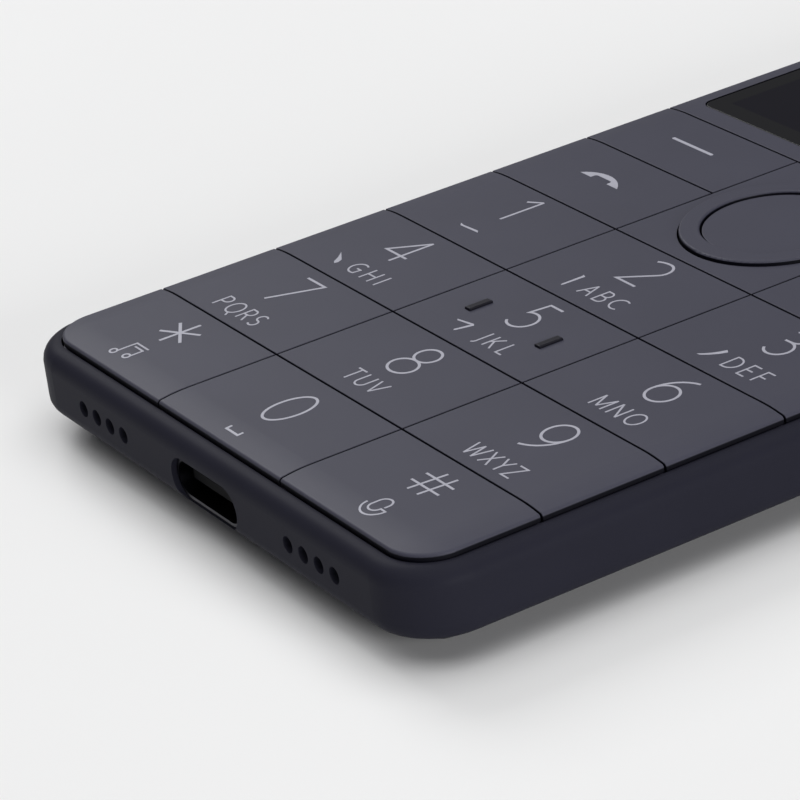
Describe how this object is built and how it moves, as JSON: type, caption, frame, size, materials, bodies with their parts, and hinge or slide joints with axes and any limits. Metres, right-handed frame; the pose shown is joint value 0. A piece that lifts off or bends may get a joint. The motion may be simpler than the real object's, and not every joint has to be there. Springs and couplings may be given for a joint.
{
  "type": "mobile phone",
  "caption": "Slim bar phone with a tile keypad, raised four-way navigation ring, portrait display, USB-C socket and a side card tray; keys, ring and tray move.",
  "frame": {"origin": "on the back face, under the middle of the phone", "axes": "+X to the phone's right, +Y to its top end, +Z out of the screen"},
  "size_m": [0.054, 0.132, 0.0083],
  "materials": {
    "key_plastic": "fine matte paint over moulded plastic",
    "case_plastic": "fine matte moulded plastic",
    "cover_glass": "polished, printed black behind",
    "panel_glass": "polarising film",
    "light_guide": "white",
    "foam_tape": "soft black",
    "polyimide": "amber film",
    "connector_plastic": "moulded",
    "spring_steel": "stamped",
    "black_mesh": "woven, painted black",
    "cast_alloy": "cast",
    "pouch_foil": "laminated foil",
    "silicone": "translucent",
    "led_resin": "clear",
    "board_laminate": "solder mask"
  },
  "bodies": {
    "phone_body": {"antenna_flex": "polyimide", "backlight_unit": "light_guide", "battery": "pouch_foil", "battery_connector": "connector_plastic", "battery_flex": "polyimide", "display_connector": "connector_plastic", "display_flex": "polyimide", "display_lens": "cover_glass", "earpiece_mesh": "black_mesh", "earpiece_receiver": "connector_plastic", "frame_screws": "spring_steel", "front_frame": "key_plastic", "key_board": "board_laminate", "key_board_connector": "connector_plastic", "key_domes": "spring_steel", "key_leds": "led_resin", "key_mat": "silicone", "lcd_panel": "panel_glass", "lens_adhesive": "foam_tape", "loudspeaker": "connector_plastic", "main_board": "board_laminate", "microphone": "spring_steel", "microphone_boot": "foam_tape", "microphone_mesh": "black_mesh", "mid_frame": "cast_alloy", "nav_surround": "key_plastic", "power_chip": "connector_plastic", "processor_chip": "connector_plastic", "rear_case": "case_plastic", "shield_can_large": "spring_steel", "shield_can_small": "spring_steel", "sim_reader": "spring_steel", "speaker_mesh": "black_mesh", "usb_shell": "spring_steel", "usb_tongue": "connector_plastic", "vibration_motor": "spring_steel"},
    "key_0": {"key_0": "key_plastic"},
    "key_1": {"key_1": "key_plastic"},
    "key_2": {"key_2": "key_plastic"},
    "key_3": {"key_3": "key_plastic"},
    "key_4": {"key_4": "key_plastic"},
    "key_5": {"key_5": "key_plastic"},
    "key_6": {"key_6": "key_plastic"},
    "key_7": {"key_7": "key_plastic"},
    "key_8": {"key_8": "key_plastic"},
    "key_9": {"key_9": "key_plastic"},
    "key_star": {"key_star": "key_plastic"},
    "key_hash": {"key_hash": "key_plastic"},
    "call_key": {"call_key": "key_plastic"},
    "end_key": {"end_key": "key_plastic"},
    "softkey_left": {"softkey_left": "key_plastic"},
    "softkey_right": {"softkey_right": "key_plastic"},
    "ok_key": {"ok_key": "key_plastic"},
    "nav_gimbal": {"nav_gimbal": "spring_steel"},
    "nav_ring": {"nav_ring": "key_plastic"},
    "sim_tray": {"sim_tray": "case_plastic"}
  },
  "joints": [
    {"name": "key_0_press", "type": "slide", "parent": "phone_body", "child": "key_0", "axis": [0, 0, -1], "range_m": [0, 0.0003], "stiffness_N_per_m": 600, "springref_m": -0.0005},
    {"name": "key_1_press", "type": "slide", "parent": "phone_body", "child": "key_1", "axis": [0, 0, -1], "range_m": [0, 0.0003], "stiffness_N_per_m": 600, "springref_m": -0.0005},
    {"name": "key_2_press", "type": "slide", "parent": "phone_body", "child": "key_2", "axis": [0, 0, -1], "range_m": [0, 0.0003], "stiffness_N_per_m": 600, "springref_m": -0.0005},
    {"name": "key_3_press", "type": "slide", "parent": "phone_body", "child": "key_3", "axis": [0, 0, -1], "range_m": [0, 0.0003], "stiffness_N_per_m": 600, "springref_m": -0.0005},
    {"name": "key_4_press", "type": "slide", "parent": "phone_body", "child": "key_4", "axis": [0, 0, -1], "range_m": [0, 0.0003], "stiffness_N_per_m": 600, "springref_m": -0.0005},
    {"name": "key_5_press", "type": "slide", "parent": "phone_body", "child": "key_5", "axis": [0, 0, -1], "range_m": [0, 0.0003], "stiffness_N_per_m": 600, "springref_m": -0.0005},
    {"name": "key_6_press", "type": "slide", "parent": "phone_body", "child": "key_6", "axis": [0, 0, -1], "range_m": [0, 0.0003], "stiffness_N_per_m": 600, "springref_m": -0.0005},
    {"name": "key_7_press", "type": "slide", "parent": "phone_body", "child": "key_7", "axis": [0, 0, -1], "range_m": [0, 0.0003], "stiffness_N_per_m": 600, "springref_m": -0.0005},
    {"name": "key_8_press", "type": "slide", "parent": "phone_body", "child": "key_8", "axis": [0, 0, -1], "range_m": [0, 0.0003], "stiffness_N_per_m": 600, "springref_m": -0.0005},
    {"name": "key_9_press", "type": "slide", "parent": "phone_body", "child": "key_9", "axis": [0, 0, -1], "range_m": [0, 0.0003], "stiffness_N_per_m": 600, "springref_m": -0.0005},
    {"name": "key_star_press", "type": "slide", "parent": "phone_body", "child": "key_star", "axis": [0, 0, -1], "range_m": [0, 0.0003], "stiffness_N_per_m": 600, "springref_m": -0.0005},
    {"name": "key_hash_press", "type": "slide", "parent": "phone_body", "child": "key_hash", "axis": [0, 0, -1], "range_m": [0, 0.0003], "stiffness_N_per_m": 600, "springref_m": -0.0005},
    {"name": "call_key_press", "type": "slide", "parent": "phone_body", "child": "call_key", "axis": [0, 0, -1], "range_m": [0, 0.0003], "stiffness_N_per_m": 600, "springref_m": -0.0005},
    {"name": "end_key_press", "type": "slide", "parent": "phone_body", "child": "end_key", "axis": [0, 0, -1], "range_m": [0, 0.0003], "stiffness_N_per_m": 600, "springref_m": -0.0005},
    {"name": "softkey_left_press", "type": "slide", "parent": "phone_body", "child": "softkey_left", "axis": [0, 0, -1], "range_m": [0, 0.0003], "stiffness_N_per_m": 600, "springref_m": -0.0005},
    {"name": "softkey_right_press", "type": "slide", "parent": "phone_body", "child": "softkey_right", "axis": [0, 0, -1], "range_m": [0, 0.0003], "stiffness_N_per_m": 600, "springref_m": -0.0005},
    {"name": "ok_key_press", "type": "slide", "parent": "phone_body", "child": "ok_key", "axis": [0, 0, -1], "range_m": [0, 0.0003], "stiffness_N_per_m": 600, "springref_m": -0.0005},
    {"name": "nav_up_down", "type": "hinge", "parent": "phone_body", "child": "nav_gimbal", "pos_m": [0, -0.01687, 0.00725], "axis": [1, 0, 0], "range_deg": [-1.5, 1.5], "stiffness_Nm_per_rad": 0.15},
    {"name": "nav_left_right", "type": "hinge", "parent": "nav_gimbal", "child": "nav_ring", "pos_m": [0, -0.01687, 0.00725], "axis": [0, 1, 0], "range_deg": [-1.5, 1.5], "stiffness_Nm_per_rad": 0.15},
    {"name": "sim_tray_slide", "type": "slide", "parent": "phone_body", "child": "sim_tray", "axis": [-1, 0, 0], "range_m": [0, 0.014]}
  ]
}
